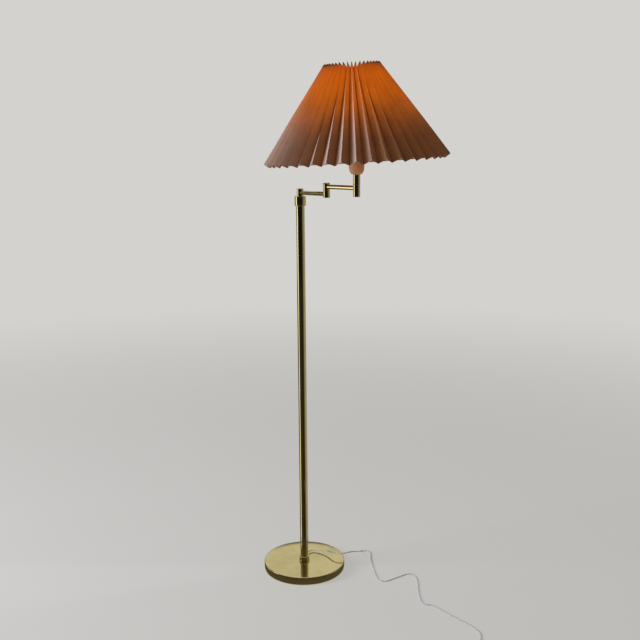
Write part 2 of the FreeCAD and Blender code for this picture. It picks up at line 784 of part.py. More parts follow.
def build_coil():
    middle = coil_turns / 2
    stations = [k / 4 for k in range(int(4 * (middle - 0.25)) + 1)]
    stations += [middle - 0.25, middle, middle + 0.25]
    stations += [coil_turns - s for s in reversed(stations[:-3])]
    start = coil_point(0)
    end = coil_point(coil_turns)
    end_heading = coil_heading(coil_turns)
    edges = [Part.LineSegment(start - coil_heading(0) * coil_lead, start).toShape()]
    for before, after in zip(stations, stations[1:]):
        if after - before > 1e-6:
            edges += biarc(coil_point(before), coil_heading(before), coil_point(after), coil_heading(after))
    tail = end + end_heading * coil_lead
    edges.append(Part.LineSegment(end, tail).toShape())
    path = Part.Wire(edges)
    coil = swept(path, cord_diameter / 2)
    save("cord_coil", coil)
    points = path.discretize(Distance=2.0)
    least = 1e9
    apart = int(3 * cord_diameter / 2.0)
    for i, a in enumerate(points):
        for b in points[i + apart:]:
            least = min(least, a.distanceToPoint(b))
    print("coil length %.0f, least gap %.2f" % (path.Length, least - cord_diameter))
    print("coil volume ratio %.4f" % (coil.Volume / (math.pi * cord_diameter ** 2 / 4 * path.Length)))
    return tail, end_heading, path.Length


def build_cord():
    path, radii = rounded_route(cord_route)
    cord = swept(path, cord_diameter / 2)
    save("mains_cord", cord)
    print("cord length %.0f, radii %s" % (path.Length, " ".join("%.0f" % r for r in radii)))
    print("cord volume ratio %.4f" % (cord.Volume / (math.pi * cord_diameter ** 2 / 4 * path.Length)))
    tail, heading, coil_length = build_coil()
    print("whole cord %.0f" % (path.Length + coil_length + plug_relief_length))

    # a flat strap round the bundle, on the side away from the plug
    inner_edge = coil_inner_radius - cord_diameter / 2
    inner_side = math.sqrt(inner_edge ** 2 - (tie_width / 2) ** 2) - tie_gap
    outer_side = coil_outer_radius + cord_diameter / 2 + tie_gap
    low = coil_height - cord_diameter / 2 - 0.05
    high = coil_height + coil_pitch + cord_diameter / 2 + tie_gap
    hole = Part.makeBox(outer_side - inner_side, tie_width + 2, high - low, V(inner_side, -tie_width / 2 - 1, low))
    band = Part.makeBox(outer_side - inner_side + 2 * tie_thickness, tie_width, high - low + 1.7 * tie_thickness,
                        V(inner_side - tie_thickness, -tie_width / 2, low - 0.85 * tie_thickness))
    band = band.makeFillet(2 * tie_thickness, [e for e in band.Edges
                                                if abs(e.BoundBox.YMax - e.BoundBox.YMin - tie_width) < 1e-6])
    band = band.cut(hole)
    band.rotate(V(0, 0, 0), up, tie_azimuth)
    band.translate(V(coil_centre.x, coil_centre.y, 0))
    save("cord_tie", band)

    build_plug(tail, heading)


def build_plug(tail, heading):
    # a flat moulded two-pin plug on the floor beside the coil, pointing along -X
    relief = Part.makeCone(cord_diameter / 2 + 0.4, plug_relief_radius, plug_relief_length, tail, heading)
    front = tail.x - plug_relief_length - plug_length
    low = floor_gap
    body = Part.makeBox(plug_length, plug_width, plug_thick, V(front, tail.y - plug_width / 2, low))
    body = body.makeFillet(plug_corner, [e for e in body.Edges
                                         if abs(e.BoundBox.XMax - e.BoundBox.XMin) > plug_length - 1e-6])
    back_edges = [e for e in body.Edges if abs(e.BoundBox.XMin - front - plug_length) < 1e-6]
    body = body.makeChamfer(plug_shoulder, back_edges)
    save("mains_plug", body.fuse(relief).removeSplitter())
    pins = []
    for side in (-1, 1):
        at = V(front, tail.y + side * pin_spacing / 2, low + plug_thick / 2)
        pin = cross_cylinder(pin_radius, at, V(-1, 0, 0), pin_length)
        tip = [e for e in pin.Edges if abs(e.BoundBox.XMax - front + pin_length) < 1e-6]
        pins.append(pin.makeChamfer(1.0, tip))
    save("plug_pins", Part.makeCompound(pins))


# ---- the lamp -----------------------------------------------------------------

build_base()
column_wire_top = build_column()
inner_wire_top = build_inner_arm(column_wire_top)
outer_wire_top = build_outer_arm(inner_wire_top)
build_holder(outer_wire_top)
build_switch()
build_bulb()
build_pleats()
build_frame()
build_cord()
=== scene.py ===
import json
import math
import bpy
from mathutils import Matrix, Vector

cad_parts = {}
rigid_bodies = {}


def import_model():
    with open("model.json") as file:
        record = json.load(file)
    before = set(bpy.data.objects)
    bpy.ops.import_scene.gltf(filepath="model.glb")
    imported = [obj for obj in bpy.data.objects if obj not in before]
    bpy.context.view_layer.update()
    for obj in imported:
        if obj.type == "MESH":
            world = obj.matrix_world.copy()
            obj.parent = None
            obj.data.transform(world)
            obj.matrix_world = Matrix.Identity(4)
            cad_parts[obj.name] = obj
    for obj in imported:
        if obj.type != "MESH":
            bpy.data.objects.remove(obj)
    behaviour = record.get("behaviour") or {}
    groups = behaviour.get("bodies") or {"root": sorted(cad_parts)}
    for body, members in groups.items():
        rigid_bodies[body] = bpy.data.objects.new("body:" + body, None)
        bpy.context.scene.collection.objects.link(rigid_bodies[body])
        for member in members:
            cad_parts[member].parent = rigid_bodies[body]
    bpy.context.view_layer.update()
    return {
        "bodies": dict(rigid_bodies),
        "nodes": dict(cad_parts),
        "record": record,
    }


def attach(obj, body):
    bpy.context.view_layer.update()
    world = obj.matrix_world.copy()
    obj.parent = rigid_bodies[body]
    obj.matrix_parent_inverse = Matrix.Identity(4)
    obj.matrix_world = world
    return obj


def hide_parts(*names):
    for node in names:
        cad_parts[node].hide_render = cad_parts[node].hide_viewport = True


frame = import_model()
nodes = frame["nodes"]
print("frame loaded:", len(nodes), "nodes")


# ---- small helpers

def deselectAll():
    if bpy.context.object and bpy.context.object.mode != "OBJECT":
        bpy.ops.object.mode_set(mode="OBJECT")
    bpy.ops.object.select_all(action="DESELECT")


def editAll():
    bpy.ops.object.mode_set(mode="EDIT")
    bpy.ops.mesh.select_mode(type="VERT")
    bpy.ops.mesh.select_all(action="SELECT")


def applyModifier(piece, kind, **settings):
    modifier = piece.modifiers.new(kind.title(), kind)
    for name, value in settings.items():
        setattr(modifier, name, value)
    bpy.context.view_layer.objects.active = piece
    bpy.ops.object.modifier_apply(modifier=modifier.name)


def finishPiece(piece, body, material, replaced=()):
    piece.data.materials.clear()
    piece.data.materials.append(material)
    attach(piece, body)
    if replaced:
        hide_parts(*replaced)
    return piece


bodyOf = {}
for bodyName, members in frame["record"]["behaviour"]["bodies"].items():
    for member in members:
        bodyOf[member] = bodyName
slotOf = {entry["node"]: entry["material_slot"] for entry in frame["record"]["subparts"]}


def standIn(piece, node, *others):
    # the new piece takes the place, body and finish of its CAD solid
    return finishPiece(piece, bodyOf[node], materialOf[slotOf[node]], (node, *others))


def turnedPiece(name, centre, rings, sides=96, bevel=0.0, smoothAngle=34):
    # a circle of edges is drawn out from one (radius, height) in millimetres to the next, until it
    # meets its start again, closes on the axis or gets a flat face
    deselectAll()
    hollow = rings[0] == rings[-1]
    rings = [(radius / 1000, height / 1000) for radius, height in rings]
    startRadius, startHeight = rings[0]
    bpy.ops.mesh.primitive_circle_add(vertices=sides, radius=startRadius,
                                      fill_type="NOTHING" if hollow else "NGON",
                                      location=(centre[0], centre[1], startHeight))
    piece = bpy.context.object
    piece.name = name
    bpy.ops.object.transform_apply(location=True, rotation=True, scale=True)
    editAll()
    for (radius, height), (nextRadius, nextHeight) in zip(rings, rings[1:]):
        bpy.ops.mesh.extrude_edges_move(TRANSFORM_OT_translate={"value": (0, 0, nextHeight - height)})
        share = max(nextRadius, 1e-6) / radius
        bpy.ops.transform.resize(value=(share, share, 1), center_override=(centre[0], centre[1], nextHeight))
    if rings[-1][0] == 0:
        bpy.ops.mesh.merge(type="CENTER")
    elif not hollow:
        bpy.ops.mesh.edge_face_add()
    bpy.ops.mesh.select_all(action="SELECT")
    bpy.ops.mesh.remove_doubles(threshold=2e-6)
    bpy.ops.mesh.normals_make_consistent(inside=False)
    bpy.ops.object.mode_set(mode="OBJECT")
    if bevel:
        applyModifier(piece, "BEVEL", width=bevel / 1000, segments=3, limit_method="ANGLE",
                      angle_limit=math.radians(30))
    bpy.ops.object.shade_smooth_by_angle(angle=math.radians(smoothAngle))
    return piece


def laidAlong(piece, start, direction):
    # a piece turned upright is laid down: its axis along the direction, its Y upwards
    ahead = Vector(direction).normalized()
    across = Vector((0, 0, 1)).cross(ahead)
    turn = Matrix((across, Vector((0, 0, 1)), ahead)).transposed()
    if turn.determinant() < 0:
        turn = Matrix((-across, Vector((0, 0, 1)), ahead)).transposed()
    piece.data.transform(Matrix.Translation(start) @ turn.to_4x4())
    return piece


# ---- materials

def newMaterial(name):
    material = bpy.data.materials.new(name)
    material.use_nodes = True
    tree = material.node_tree
    shader = tree.nodes["Principled BSDF"]
    return material, tree, shader


def addNode(tree, kind, **settings):
    node = tree.nodes.new("ShaderNode" + kind)
    for name, value in settings.items():
        if name in node.inputs:
            node.inputs[name].default_value = value
        else:
            setattr(node, name, value)
    return node


def noiseOn(tree, scale, detail=4.0, roughness=0.55, stretch=(1, 1, 1)):
    # noise in metres on the piece's own place
    where = addNode(tree, "TexCoord")
    mapping = addNode(tree, "Mapping")
    mapping.inputs["Scale"].default_value = stretch
    noise = addNode(tree, "TexNoise")
    noise.inputs["Scale"].default_value = scale
    noise.inputs["Detail"].default_value = detail
    noise.inputs["Roughness"].default_value = roughness
    tree.links.new(where.outputs["Object"], mapping.inputs["Vector"])
    tree.links.new(mapping.outputs["Vector"], noise.inputs["Vector"])
    return noise


def ramp(tree, source, stops):
    node = addNode(tree, "ValToRGB")
    elements = node.color_ramp.elements
    while len(elements) < len(stops):
        elements.new(0.5)
    for element, (place, colour) in zip(elements, stops):
        element.position = place
        element.color = (*colour, 1) if len(colour) == 3 else colour
    tree.links.new(source, node.inputs["Fac"])
    return node


def remap(tree, source, low, high, toLow, toHigh):
    node = addNode(tree, "MapRange")
    node.inputs["From Min"].default_value = low
    node.inputs["From Max"].default_value = high
    node.inputs["To Min"].default_value = toLow
    node.inputs["To Max"].default_value = toHigh
    tree.links.new(source, node.inputs["Value"])
    return node


def math2(tree, operation, first, second=None):
    node = addNode(tree, "Math")
    node.operation = operation
    for socket, value in ((node.inputs[0], first), (node.inputs[1], second)):
        if value is None:
            continue
        if isinstance(value, (int, float)):
            socket.default_value = value
        else:
            tree.links.new(value, socket)
    return node.outputs[0]


def addBump(tree, shader, height, strength, distance):
    bump = addNode(tree, "Bump")
    bump.inputs["Strength"].default_value = strength
    bump.inputs["Distance"].default_value = distance
    tree.links.new(height, bump.inputs["Height"])
    tree.links.new(bump.outputs["Normal"], shader.inputs["Normal"])


def speckledMaterial(name, colours, roughness, scale, metallic=0.0, bump=0.0, coat=0.0, stretch=(1, 1, 1)):
    # two tones that drift into each other, with an uneven gloss
    material, tree, shader = newMaterial(name)
    noise = noiseOn(tree, scale, stretch=stretch)
    tone = ramp(tree, noise.outputs["Fac"], [(0.32, colours[0]), (0.68, colours[1])])
    tree.links.new(tone.outputs["Color"], shader.inputs["Base Color"])
    gloss = remap(tree, noise.outputs["Fac"], 0.3, 0.7, roughness[0], roughness[1])
    tree.links.new(gloss.outputs[0], shader.inputs["Roughness"])
    shader.inputs["Metallic"].default_value = metallic
    shader.inputs["Coat Weight"].default_value = coat
    if bump:
        fine = noiseOn(tree, scale * 6, stretch=stretch)
        addBump(tree, shader, fine.outputs["Fac"], bump, 0.0004)
    return material


brassValues = {
    "bright": (0.76, 0.655, 0.315),
    "worn": (0.66, 0.555, 0.25),
    "tarnish": (0.30, 0.235, 0.10),
    "gloss": (0.07, 0.16),
    "spotShare": 7,
    "spotDullness": 0.35,
    "markScale": 90,
    "markStretch": (1, 1, 0.2),
    "markDepth": 0.0002,
}


def brassMaterial(name, mottle, tarnish, scratch):
    # polished and lacquered, worn in clouds, with small tarnish spots and faint marks along it
    v = brassValues
    material, tree, shader = newMaterial(name)
    cloud = noiseOn(tree, mottle, detail=5)
    tone = ramp(tree, cloud.outputs["Fac"], [(0.30, v["worn"]), (0.62, v["bright"])])
    spots = noiseOn(tree, mottle * v["spotShare"], detail=6, roughness=0.7)
    dark = ramp(tree, spots.outputs["Fac"], [(0.62, (0, 0, 0)), (0.72, (tarnish,) * 3)])
    mix = addNode(tree, "MixRGB")
    tree.links.new(dark.outputs["Color"], mix.inputs["Fac"])
    tree.links.new(tone.outputs["Color"], mix.inputs["Color1"])
    mix.inputs["Color2"].default_value = (*v["tarnish"], 1)
    tree.links.new(mix.outputs["Color"], shader.inputs["Base Color"])
    low, high = v["gloss"]
    smear = remap(tree, cloud.outputs["Fac"], 0.3, 0.7, high, low)
    dull = math2(tree, "MULTIPLY", dark.outputs["Color"], v["spotDullness"])
    tree.links.new(math2(tree, "ADD", smear.outputs[0], dull), shader.inputs["Roughness"])
    shader.inputs["Metallic"].default_value = 1.0
    marks = noiseOn(tree, v["markScale"], detail=3, roughness=0.5, stretch=v["markStretch"])
    addBump(tree, shader, marks.outputs["Fac"], scratch, v["markDepth"])
    return material


tubeBrass = brassMaterial("polishedBrass", mottle=9, tarnish=0.25, scratch=0.006)
baseBrass = brassMaterial("wornBrass", mottle=16, tarnish=0.6, scratch=0.02)


shadeValues = {
    "centre": (0.1556, -0.1690, 1.2850),
    "tilt": 3.0,
    "pleats": 42,
    "phase": -98.0,
    "bottomRadius": 0.2550,
    "topRadius": 0.0753,
    "height": 0.2616,
    "bottomDepth": 0.0134,
    "topDepth": 0.0205,
    "drop": 0.010,
    "wall": 0.0006,
    "cloth": ((0.33, 0.172, 0.074), (0.39, 0.212, 0.096)),
    # the next three colours are painted light and shade: warm lamplight on the upper cloth, window light on
    # the faces towards the window, shade along the top edge
    "lampWarmedCloth": (0.31, 0.150, 0.036),
    "fadedCloth": (0.58, 0.53, 0.54),
    "topEdgeShade": (0.13, 0.065, 0.035),
    "threadsUp": 5200.0,
    "threadsAround": 840,
    # each from, to and what is left at the end, by share of the height or from valley (0) to ridge (1); the
    # first is how the painted window light dies away upwards, the second where the painted warm lamplight
    # comes in
    "windowLightUp": (0.30, 0.80, 0.12),
    "lampWarmUp": (0.40, 0.70),
    "topShadeBand": (0.968, 0.982),
    # painted shade: the next two darken the cloth towards each valley, the two after them dim the glow along
    # the valleys and ridges
    "creaseShade": (0.02, 0.12, 0.55),
    "hollow": (0.05, 0.70, 0.62),
    "valleyGlowShade": (0.02, 0.30, 0.16),
    "ridgeGlowShade": (0.93, 0.985, 0.62),
    "foldGlowUp": (0.10, 0.45),
    # azimuths where the faces with painted window light start, and over how many degrees they come in
    "windowFront": (-80, 16),
    "windowBack": (95, 40),
    "leftFront": (-118, 32),
    "leftBack": (120, 40),
    "glow": [
        (0.00, (0.038, 0.0070, 0.0)),
        (0.24, (0.055, 0.0105, 0.0)),
        (0.40, (0.140, 0.0270, 0.0)),
        (0.54, (0.270, 0.0530, 0.0)),
        (0.70, (0.390, 0.0740, 0.0)),
        (0.86, (0.420, 0.0760, 0.0)),
        (0.955, (0.320, 0.0530, 0.0)),
        (0.985, (0.040, 0.0080, 0.0)),
    ],
    "glowStrength": 1.0,
    "unevenness": 0.00035,
}


def shadeMaterial():
    v = shadeValues
    material, tree, shader = newMaterial("pleatedCloth")
    where = addNode(tree, "TexCoord")
    local = addNode(tree, "Mapping")
    local.vector_type = "TEXTURE"
    local.inputs["Location"].default_value = v["centre"]
    local.inputs["Rotation"].default_value = (0, math.radians(-v["tilt"]), 0)
    tree.links.new(where.outputs["Object"], local.inputs["Vector"])
    parts = addNode(tree, "SeparateXYZ")
    tree.links.new(local.outputs["Vector"], parts.inputs[0])
    share = remap(tree, parts.outputs["Z"], -v["drop"], v["height"] - v["drop"], 0, 1)
    around = addNode(tree, "TexGradient")
    around.gradient_type = "RADIAL"
    tree.links.new(local.outputs["Vector"], around.inputs["Vector"])

    # cloth: pale threads up and across, a little cloudy
    cloud = noiseOn(tree, 16, detail=5)
    tone = ramp(tree, cloud.outputs["Fac"], [(0.3, v["cloth"][0]), (0.7, v["cloth"][1])])
    threadAcross = math2(tree, "SINE", math2(tree, "MULTIPLY", parts.outputs["Z"], v["threadsUp"]))
    turns = math2(tree, "MULTIPLY", around.outputs["Fac"], 2 * math.pi * v["threadsAround"])
    threadAround = math2(tree, "SINE", turns)
    weave = math2(tree, "MULTIPLY", threadAcross, threadAround)
    slub = noiseOn(tree, 220, detail=3, stretch=(1, 1, 0.15))
    weaveHeight = math2(tree, "ADD", math2(tree, "MULTIPLY", weave, 0.35), slub.outputs["Fac"])
    # the fold map: red runs from valley to ridge, green marks where window light is painted on
    fold = addNode(tree, "Attribute", attribute_name="foldMap")
    foldParts = addNode(tree, "SeparateColor")
    tree.links.new(fold.outputs["Color"], foldParts.inputs[0])
    toRidge, fadedShare = foldParts.outputs[0], foldParts.outputs[1]

    # the cloth's colour with light and shade painted in: window light on the faces towards the window, warm
    # lamplight above, shade down in the folds
    low, high, left = v["windowLightUp"]
    lowerHalf = remap(tree, share.outputs[0], low, high, 1, left)
    faded = addNode(tree, "MixRGB")
    tree.links.new(math2(tree, "MULTIPLY", fadedShare, lowerHalf.outputs[0]), faded.inputs["Fac"])
    tree.links.new(tone.outputs["Color"], faded.inputs["Color1"])
    faded.inputs["Color2"].default_value = (*v["fadedCloth"], 1)
    # painted warm lamplight: the cloth turns warmer towards the top, less on the window-lit faces
    lampWarmed = addNode(tree, "MixRGB")
    upper = remap(tree, share.outputs[0], *v["lampWarmUp"], 0, 1)
    unfaded = remap(tree, fadedShare, 0.0, 0.7, 1, 0.25)
    tree.links.new(math2(tree, "MULTIPLY", upper.outputs[0], unfaded.outputs[0]), lampWarmed.inputs["Fac"])
    tree.links.new(faded.outputs["Color"], lampWarmed.inputs["Color1"])
    lampWarmed.inputs["Color2"].default_value = (*v["lampWarmedCloth"], 1)
    # painted shade: the cloth darkens towards the valley of each fold
    low, high, left = v["creaseShade"]
    creaseShade = remap(tree, toRidge, low, high, left, 1)
    low, high, left = v["hollow"]
    hollow = remap(tree, toRidge, low, high, left, 1)
    foldShaded = addNode(tree, "VectorMath")
    foldShaded.operation = "SCALE"
    tree.links.new(lampWarmed.outputs["Color"], foldShaded.inputs[0])
    tree.links.new(math2(tree, "MULTIPLY", creaseShade.outputs[0], hollow.outputs[0]), foldShaded.inputs["Scale"])
    # painted shade: the cloth goes dark along its top edge
    edge = remap(tree, share.outputs[0], *v["topShadeBand"], 0, 1)
    topShaded = addNode(tree, "MixRGB")
    tree.links.new(edge.outputs[0], topShaded.inputs["Fac"])
    tree.links.new(foldShaded.outputs["Vector"], topShaded.inputs["Color1"])
    topShaded.inputs["Color2"].default_value = (*v["topEdgeShade"], 1)
    tree.links.new(topShaded.outputs["Color"], shader.inputs["Base Color"])
    shader.inputs["Roughness"].default_value = 0.88
    shader.inputs["Sheen Weight"].default_value = 0.08
    shader.inputs["Sheen Roughness"].default_value = 0.5
    shader.inputs["Sheen Tint"].default_value = (0.86, 0.84, 0.95, 1)
    addBump(tree, shader, weaveHeight, 0.2, 0.0002)

    # lamplight through the cloth, strongest beside the bulb, with painted shade along the valleys and ridges
    # of the folds
    glow = ramp(tree, share.outputs[0], v["glow"])
    uneven = remap(tree, cloud.outputs["Fac"], 0.3, 0.7, 0.82, 1.12)
    slubGlow = remap(tree, slub.outputs["Fac"], 0.3, 0.7, 0.93, 1.06)
    low, high, left = v["valleyGlowShade"]
    valley = remap(tree, toRidge, low, high, left, 1)
    low, high, left = v["ridgeGlowShade"]
    ridge = remap(tree, toRidge, low, high, 1, left)
    creaseGlowShade = math2(tree, "MULTIPLY", valley.outputs[0], ridge.outputs[0])
    upperHalf = remap(tree, share.outputs[0], *v["foldGlowUp"], 0, 1)
    shaded = math2(tree, "MULTIPLY", math2(tree, "SUBTRACT", 1.0, creaseGlowShade), upperHalf.outputs[0])
    dim = math2(tree, "MULTIPLY", uneven.outputs[0], slubGlow.outputs[0])
    dim = math2(tree, "MULTIPLY", dim, math2(tree, "SUBTRACT", 1.0, shaded))
    scaled = addNode(tree, "VectorMath")
    scaled.operation = "SCALE"
    tree.links.new(glow.outputs["Color"], scaled.inputs[0])
    tree.links.new(dim, scaled.inputs["Scale"])
    tree.links.new(scaled.outputs["Vector"], shader.inputs["Emission Color"])
    shader.inputs["Emission Strength"].default_value = v["glowStrength"]
    return material


flexValues = {
    "strands": ((0.82, 0.82, 0.80), (0.97, 0.97, 0.96)),
    "strandScale": 700,
    "roughness": 0.26,
    "coat": 0.8,
}


def flexMaterial():
    # clear soft plastic over silvery strands
    v = flexValues
    material, tree, shader = newMaterial("clearFlex")
    strands = noiseOn(tree, v["strandScale"], detail=2)
    tone = ramp(tree, strands.outputs["Fac"], [(0.35, v["strands"][0]), (0.6, v["strands"][1])])
    tree.links.new(tone.outputs["Color"], shader.inputs["Base Color"])
    shader.inputs["Roughness"].default_value = v["roughness"]
    shader.inputs["Coat Weight"].default_value = v["coat"]
    shader.inputs["Coat Roughness"].default_value = 0.12
    addBump(tree, shader, strands.outputs["Fac"], 0.12, 0.0003)
    return material


glassValues = {
    "light": ((1.0, 0.80, 0.55), (1.0, 0.86, 0.64)),
    "strength": 2.2,
}


def glassMaterial():
    # frosted and lit from inside
    v = glassValues
    material, tree, shader = newMaterial("frostedGlass")
    frost = noiseOn(tree, 60, detail=3)
    tone = ramp(tree, frost.outputs["Fac"], [(0.3, v["light"][0]), (0.7, v["light"][1])])
    tree.links.new(tone.outputs["Color"], shader.inputs["Base Color"])
    tree.links.new(tone.outputs["Color"], shader.inputs["Emission Color"])
    shader.inputs["Emission Strength"].default_value = v["strength"]
    shader.inputs["Roughness"].default_value = 0.4
    shader.inputs["Coat Weight"].default_value = 0.3
    return material


mouldingValues = {
    "tones": ((0.44, 0.335, 0.19), (0.52, 0.40, 0.24)),
    "warmth": ((0.115, 0.024, 0.0), (0.15, 0.034, 0.0)),
}


def holderMaterial():
    # amber-cream moulding, warmed by the lamp above it
    v = mouldingValues
    material, tree, shader = newMaterial("holderMoulding")
    cloud = noiseOn(tree, 45, detail=4)
    tone = ramp(tree, cloud.outputs["Fac"], [(0.3, v["tones"][0]), (0.7, v["tones"][1])])
    tree.links.new(tone.outputs["Color"], shader.inputs["Base Color"])
    warm = ramp(tree, cloud.outputs["Fac"], [(0.3, v["warmth"][0]), (0.7, v["warmth"][1])])
    tree.links.new(warm.outputs["Color"], shader.inputs["Emission Color"])
    shader.inputs["Emission Strength"].default_value = 1.0
    shader.inputs["Roughness"].default_value = 0.4
    addBump(tree, shader, cloud.outputs["Fac"], 0.05, 0.0003)
    return material


materialOf = {
    "brass": tubeBrass,
    "felt": speckledMaterial("feltPad", ((0.03, 0.05, 0.035), (0.06, 0.10, 0.07)), (0.9, 1.0),
                             300, bump=0.6),
    "iron": speckledMaterial("castIron", ((0.06, 0.06, 0.06), (0.14, 0.13, 0.12)), (0.55, 0.8),
                             80, metallic=0.8, bump=0.5),
    "steel": speckledMaterial("zincSteel", ((0.42, 0.42, 0.42), (0.62, 0.62, 0.64)), (0.22, 0.42),
                              120, metallic=1.0, bump=0.08),
    "clear_flex": flexMaterial(),
    "wire": speckledMaterial("wireSleeve", ((0.66, 0.63, 0.55), (0.78, 0.75, 0.68)), (0.35, 0.5),
                             60, bump=0.1),
    "white_plastic": speckledMaterial("whiteMoulding", ((0.74, 0.71, 0.64), (0.84, 0.82, 0.77)),
                                      (0.3, 0.42), 70, bump=0.06, coat=0.2),
    "holder_plastic": holderMaterial(),
    "dark_plastic": speckledMaterial("darkMoulding", ((0.025, 0.02, 0.018), (0.06, 0.05, 0.045)),
                                     (0.3, 0.48), 90, bump=0.08),
    "porcelain": speckledMaterial("porcelainGlaze", ((0.72, 0.70, 0.64), (0.82, 0.80, 0.76)),
                                  (0.12, 0.25), 60, coat=0.4),
    "bulb_glass": glassMaterial(),
    "shade_cloth": shadeMaterial(),
    "frame_wire": speckledMaterial("enamelWire", ((0.62, 0.60, 0.55), (0.76, 0.74, 0.70)),
                                   (0.3, 0.5), 150, bump=0.15),
}
for entry in frame["record"]["subparts"]:
    slots = nodes[entry["node"]].data.materials
    slots.clear()
    slots.append(materialOf[entry["material_slot"]])
nodes["base_cover"].data.materials[0] = baseBrass
print("materials made:", len(bpy.data.materials))


# ---- cord

cordValues = {
    "width": 0.0053,
    "thickness": 0.0028,
    "exit": (0.01035, 0.03186, 0.032),
    "length": 2.10,
    "coilCentre": (0.42826, -0.52230),
    "coilInner": 0.02226,
    "coilPitch": 0.0059,
    "coilTurns": 5.25,
    "coilLow": 0.0032,
    "coilHigh": 0.0090,
    "pointsPerTurn": 16,
}
cordPoints = [
    cordValues["exit"], (0.0128, 0.0395, 0.0320), (0.0189, 0.0461, 0.0312), (0.0274, 0.0494, 0.0306),
    (0.0413, 0.0480, 0.0315), (0.0550, 0.0430, 0.0340), (0.0680, 0.0355, 0.0365), (0.0780, 0.0260, 0.0383),
    (0.0865, 0.0135, 0.0400), (0.0965, 0.0020, 0.0416), (0.1100, -0.0045, 0.0430),
    (0.1240, -0.0030, 0.0435), (0.1375, 0.0045, 0.0426), (0.1500, 0.0160, 0.0390),
    (0.1610, 0.0310, 0.0325), (0.1695, 0.0475, 0.0245), (0.1755, 0.0640, 0.0155),
    (0.1798, 0.0790, 0.0085), (0.1840, 0.0900, 0.0040), (0.1904, 0.0963, 0.0016),
    (0.1991, 0.0991, 0.0016), (0.2080, 0.0976, 0.0016), (0.2152, 0.0922, 0.0016),
    (0.2190, 0.0842, 0.0016), (0.2188, 0.0700, 0.0016), (0.2170, 0.0460, 0.0016),
    (0.2173, 0.0080, 0.0016), (0.2190, -0.0340, 0.0016), (0.2230, -0.0700, 0.0016),
    (0.2255, -0.0880, 0.0016), (0.2262, -0.0980, 0.0016), (0.2300, -0.1051, 0.0016),
    (0.2361, -0.1102, 0.0016), (0.2438, -0.1125, 0.0016), (0.2517, -0.1118, 0.0016),
    (0.2632, -0.1057, 0.0016), (0.2780, -0.0955, 0.0016), (0.2980, -0.0825, 0.0016),
    (0.3110, -0.0736, 0.0016), (0.3180, -0.0690, 0.0016), (0.3258, -0.0674, 0.0016),
    (0.3337, -0.0690, 0.0016), (0.3403, -0.0736, 0.0016), (0.3446, -0.0803, 0.0016),
    (0.3470, -0.0940, 0.0016), (0.3480, -0.1160, 0.0016), (0.3455, -0.1480, 0.0016),
    (0.3420, -0.1860, 0.0016), (0.3420, -0.2200, 0.0016), (0.3428, -0.2370, 0.0016),
    (0.3442, -0.2460, 0.0016), (0.3494, -0.2538, 0.0016), (0.3576, -0.2582, 0.0016),
    (0.3672, -0.2592, 0.0016), (0.3760, -0.2652, 0.0016), (0.3840, -0.2758, 0.0016),
    (0.3940, -0.2915, 0.0016), (0.4110, -0.3120, 0.0016), (0.4315, -0.3405, 0.0016),
    (0.4550, -0.3660, 0.0016), (0.4720, -0.3910, 0.0016), (0.4806, -0.4120, 0.0016),
    (0.4820, -0.4300, 0.0016), (0.4780, -0.4470, 0.0016), (0.4715, -0.4660, 0.0016),
    (0.4673, -0.4850, 0.0020), (0.4660, -0.5030, 0.0032), (0.4660, -0.5170, 0.0032),
]


def coilPoints():
    # clockwise: winds in on the lower layer, climbs, and winds out on the upper one
    points = []
    turns = cordValues["coilTurns"]
    steps = int(turns * cordValues["pointsPerTurn"])
    for k in range(steps + 1):
        done = turns * k / steps
        radius = cordValues["coilInner"] + cordValues["coilPitch"] * abs(done - turns / 2)
        climb = min(max((done - turns / 2 + 0.25) / 0.5, 0), 1)
        lift = (1 - math.cos(math.pi * climb)) / 2
        height = cordValues["coilLow"] + (cordValues["coilHigh"] - cordValues["coilLow"]) * lift
        angle = -2 * math.pi * done
        points.append((cordValues["coilCentre"][0] + radius * math.cos(angle),
                       cordValues["coilCentre"][1] + radius * math.sin(angle), height))
    return points


def flexSection():
    # two round cores side by side with a web between them
    width, thickness = cordValues["width"], cordValues["thickness"]
    core = thickness / 2
    offset = width / 2 - core
    outline = []
    for side in (1, -1):
        for k in range(9):
            angle = math.radians(-125 + 250 * k / 8)
            outline.append((side * (offset + core * math.cos(angle)), side * core * math.sin(angle)))
    curve = bpy.data.curves.new("flexSection", "CURVE")
    curve.dimensions = "2D"
    spline = curve.splines.new("POLY")
    spline.points.add(len(outline) - 1)
    for point, (x, y) in zip(spline.points, outline):
        point.co = (x, y, 0, 1)
    spline.use_cyclic_u = True
    section = bpy.data.objects.new("flexSection", curve)
    bpy.context.scene.collection.objects.link(section)
    section.hide_render = True
    return section


def makeCord():
    points = cordPoints + coilPoints()[1:] + [(0.4245, -0.5600, 0.0092), (0.4190, -0.5600, 0.0092)]
    curve = bpy.data.curves.new("mainsFlex", "CURVE")
    curve.dimensions = "3D"
    curve.resolution_u = 6
    curve.twist_mode = "Z_UP"
    spline = curve.splines.new("NURBS")
    spline.points.add(len(points) - 1)
    for point, place in zip(spline.points, points):
        point.co = (*place, 1)
    spline.order_u = 3
    spline.use_endpoint_u = True
    curve.bevel_mode = "OBJECT"
    curve.bevel_object = flexSection()
    curve.use_fill_caps = True
    cord = bpy.data.objects.new("mainsFlex", curve)
    bpy.context.scene.collection.objects.link(cord)
    return cord


cord = makeCord()
finishPiece(cord, "stand", materialOf["clear_flex"], ("mains_cord", "cord_coil"))
print("cord laid")


# ---- shade

def shadePlace():
    # from the shade's own frame to the lamp's
    lean = Matrix.Rotation(math.radians(-shadeValues["tilt"]), 4, "Y")
    return Matrix.Translation(shadeValues["centre"]) @ lean


